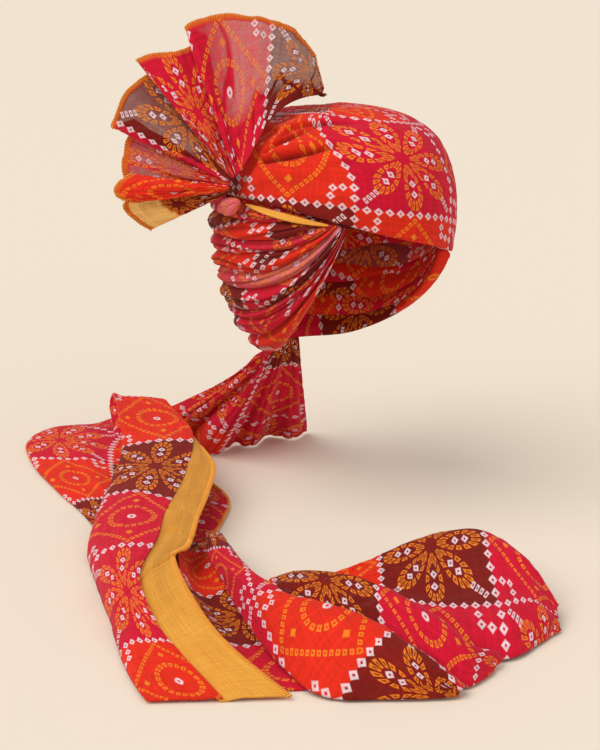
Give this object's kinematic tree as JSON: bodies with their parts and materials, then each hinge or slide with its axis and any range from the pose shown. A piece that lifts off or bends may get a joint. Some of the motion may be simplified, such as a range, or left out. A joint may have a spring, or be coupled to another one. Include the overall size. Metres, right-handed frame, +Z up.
{
  "type": "tied turban",
  "caption": "Tied turban of tie-dyed voile: wound crown, shingled turns round the nape, side knot with a pleated fan, and a long loose end lying folded below.",
  "frame": {"origin": "centre of the head hollow at brow height, where the turban sits on a head", "axes": "+Z up, the wearer looks along -Y, the wearer's right hand is at -X"},
  "size_m": [0.4825, 0.609, 0.4009],
  "materials": {
    "crown_cloth": "fine voile, tie-dyed in crimson, scarlet and maroon fields with rows of small pale and orange squares",
    "turn_cloth": "the same voile wound in folded bands, soft creases",
    "knot_cloth": "the same voile twisted tight, its pale side out",
    "fan_cloth": "the same voile in a single open layer that lets light through, with an overlocked orange edge",
    "tail_cloth": "the same voile in loose folds",
    "gold_cloth": "plain golden yellow border with a slub weave and an overlocked edge"
  },
  "bodies": {
    "root": {"crown": "crown_cloth", "edge_strip": "gold_cloth", "fan": "fan_cloth", "gold_border": "gold_cloth", "knot": "knot_cloth", "tail_drop": "tail_cloth", "tail_far_fold": "tail_cloth", "tail_flap": "tail_cloth", "tail_front": "tail_cloth", "tail_inner": "tail_cloth", "tail_lobe": "tail_cloth", "tail_middle_fold": "tail_cloth", "tail_near_fold": "tail_cloth", "turn_1": "turn_cloth", "turn_2": "turn_cloth", "turn_3": "turn_cloth", "turn_4": "turn_cloth", "turn_5": "turn_cloth", "turn_6": "turn_cloth", "turn_7": "turn_cloth", "turn_8": "turn_cloth", "turn_9": "turn_cloth"}
  },
  "joints": []
}
